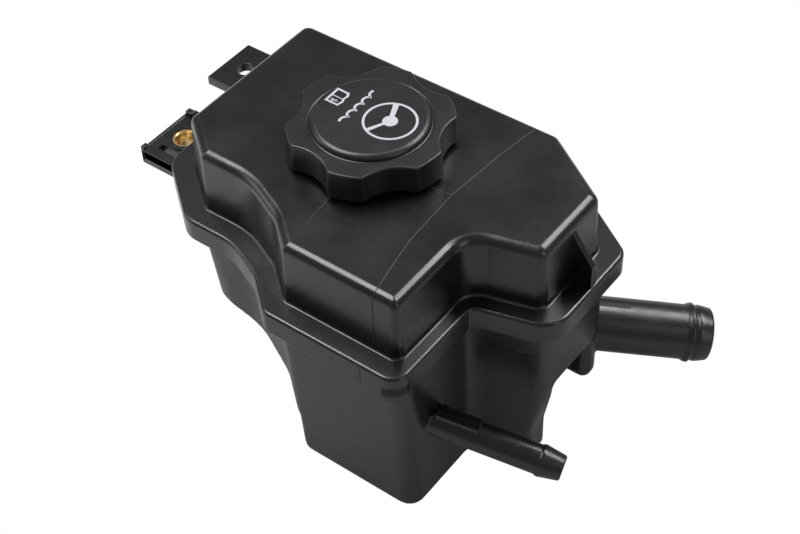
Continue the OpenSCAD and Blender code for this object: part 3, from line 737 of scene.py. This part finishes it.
def add_camera():
    """Camera at the photograph's place, built from its direction and roll."""
    forward = CAMERA_LOOKS.normalized()
    level_right = forward.cross(Vector((0, 0, 1))).normalized()
    turn = Matrix.Rotation(-CAMERA_ROLL, 3, forward)
    right = turn @ level_right
    up = right.cross(forward)
    camera = bpy.data.objects.new("camera", bpy.data.cameras.new("camera"))
    camera.data.lens = CAMERA_LENS
    camera.data.sensor_width = 36.0
    camera.data.clip_start = 0.01
    camera.matrix_world = Matrix((
        (right.x, up.x, -forward.x, CAMERA_AT.x),
        (right.y, up.y, -forward.y, CAMERA_AT.y),
        (right.z, up.z, -forward.z, CAMERA_AT.z),
        (0, 0, 0, 1)))
    bpy.context.scene.collection.objects.link(camera)
    bpy.context.scene.camera = camera


def add_area_light(name, at, target, size, power, size_y=None):
    """A rectangular softbox aimed at a point."""
    light = bpy.data.lights.new(name, "AREA")
    light.shape = "RECTANGLE"
    light.size = size
    light.size_y = size_y or size
    light.energy = power
    lamp = bpy.data.objects.new(name, light)
    lamp.location = at
    lamp.rotation_euler = (Vector(target) - Vector(at)).to_track_quat("-Z", "Y").to_euler()
    bpy.context.scene.collection.objects.link(lamp)


def floor_material():
    """Matt floor for light and shadow, with a painted pool of light: its colour is painted lighter to the left and
    darker to the right. The camera sees it white, and reflections see it paler than it is lit.
    """
    material, nodes, links, shader = new_material("pale_floor")
    where = nodes.new("ShaderNodeTexCoord")
    split = nodes.new("ShaderNodeSeparateXYZ")
    links.new(where.outputs["Object"], split.inputs["Vector"])
    # Painted pool of light: the floor's colour runs from 0.9 at the left to 0.4 at the right, so the walls reflect a
    # brighter floor on the left
    painted_floor_light = nodes.new("ShaderNodeMapRange")
    for name, value in (("From Min", -0.12), ("From Max", 0.2), ("To Min", 0.9), ("To Max", 0.4)):
        painted_floor_light.inputs[name].default_value = value
    links.new(split.outputs["X"], painted_floor_light.inputs["Value"])
    links.new(painted_floor_light.outputs["Result"], shader.inputs["Base Color"])
    shader.inputs["Roughness"].default_value = 0.9
    shader.inputs["Specular IOR Level"].default_value = 0.0
    glow = add_node(nodes, "ShaderNodeEmission", Color=(1, 1, 1, 1), Strength=1.0)
    seen = nodes.new("ShaderNodeLightPath")
    kind = nodes.new("ShaderNodeMath")
    kind.operation = "MULTIPLY_ADD"
    kind.inputs[1].default_value = GLOSSY_SHARE
    links.new(seen.outputs["Is Glossy Ray"], kind.inputs[0])
    links.new(seen.outputs["Is Camera Ray"], kind.inputs[2])
    mix = nodes.new("ShaderNodeMixShader")
    links.new(kind.outputs[0], mix.inputs["Fac"])
    links.new(shader.outputs["BSDF"], mix.inputs[1])
    links.new(glow.outputs["Emission"], mix.inputs[2])
    links.new(mix.outputs["Shader"], nodes["Material Output"].inputs["Surface"])
    return material


def add_stage():
    """Pale floor that is white to the camera."""
    mesh = bpy.data.meshes.new("floor")
    half = 4.0
    mesh.from_pydata([(-half, -half, FLOOR_Z), (half, -half, FLOOR_Z), (half, half, FLOOR_Z), (-half, half, FLOOR_Z)],
                     [], [(0, 1, 2, 3)])
    floor = bpy.data.objects.new("floor", mesh)
    bpy.context.scene.collection.objects.link(floor)
    mesh.materials.append(floor_material())


def add_world():
    """Soft even surroundings; white behind the object."""
    world = bpy.data.worlds.new("studio")
    world.use_nodes = True
    nodes, links = world.node_tree.nodes, world.node_tree.links
    back = nodes["Background"]
    back.inputs["Color"].default_value = (1, 0.96, 1, 1)
    back.inputs["Strength"].default_value = 0.2
    white = add_node(nodes, "ShaderNodeBackground", Color=(1, 1, 1, 1), Strength=1.0)
    seen = nodes.new("ShaderNodeLightPath")
    mix = nodes.new("ShaderNodeMixShader")
    links.new(seen.outputs["Is Camera Ray"], mix.inputs["Fac"])
    links.new(back.outputs["Background"], mix.inputs[1])
    links.new(white.outputs["Background"], mix.inputs[2])
    links.new(mix.outputs["Shader"], nodes["World Output"].inputs["Surface"])
    bpy.context.scene.world = world


def add_lights():
    """Two high softboxes that light the rounded edges from both sides, and two weak low ones."""
    centre = (0.1, 0.0, -0.02)
    add_area_light("front_light", (-0.42, -0.08, 1.0), (-0.42, -0.08, 0), 0.5, 8.5, 0.75)
    add_area_light("back_light", (0.42, 0.74, 0.95), (0.42, 0.3, 0), 0.9, 8.5, 0.4)
    add_area_light("left_light", (-0.9, -0.45, 0.45), centre, 0.4, 1.2, 0.6)
    add_area_light("right_light", (0.95, -0.1, 0.4), centre, 0.3, 0.6, 0.6)


bpy.context.scene.view_settings.view_transform = "Standard"
add_camera()
add_world()
add_lights()
add_stage()

BLACK = (0.0085, 0.0080, 0.0092)
housing = moulded_plastic("housing_plastic", BLACK, 0.26, 0.5)
tank = moulded_plastic("tank_plastic", BLACK, 0.30, 0.5, 0.85)
cap_plastic = moulded_plastic("cap_plastic", BLACK, 0.33, 0.5)
# Painted highlight and painted shade: a lighter plastic for the mould line on the top, and a near-black one for the
# mould line on the walls and for the feed stub's slot
painted_highlight_plastic = moulded_plastic("parting_line_painted_highlight", (0.075, 0.075, 0.08), 0.4)
painted_shade_plastic = moulded_plastic("parting_line_and_slot_painted_shade", (0.004, 0.004, 0.004), 0.6)
inner_plastic = moulded_plastic("inner_plastic", (0.03, 0.03, 0.032), 0.5)
white_mesh = moulded_plastic("white_mesh", (0.6, 0.6, 0.56), 0.5)
rubber = moulded_plastic("seal_rubber", (0.012, 0.012, 0.012), 0.7)
brass_finish = brass("brass")
ink = print_ink("white_print")

dress("lower_shell", tank)
dress("upper_shell", housing)
dress("cap", cap_plastic)
dress("dipstick", cap_plastic)
dress("cap_seal", rubber)
dress("fixing_bush", brass_finish)
dress("screen_frame", inner_plastic)
dress("return_baffle", inner_plastic)
dress("screen_mesh", white_mesh)

upper_shell(housing)
gusset(housing)
parting_line(painted_highlight_plastic, painted_shade_plastic)
lower_shell(tank)
flange_corner(tank)
feed_stub(tank, painted_shade_plastic)
return_stub(tank)
fixing_lugs(housing)
bush(brass_finish)
cap_body(cap_plastic)
cap_print(ink)
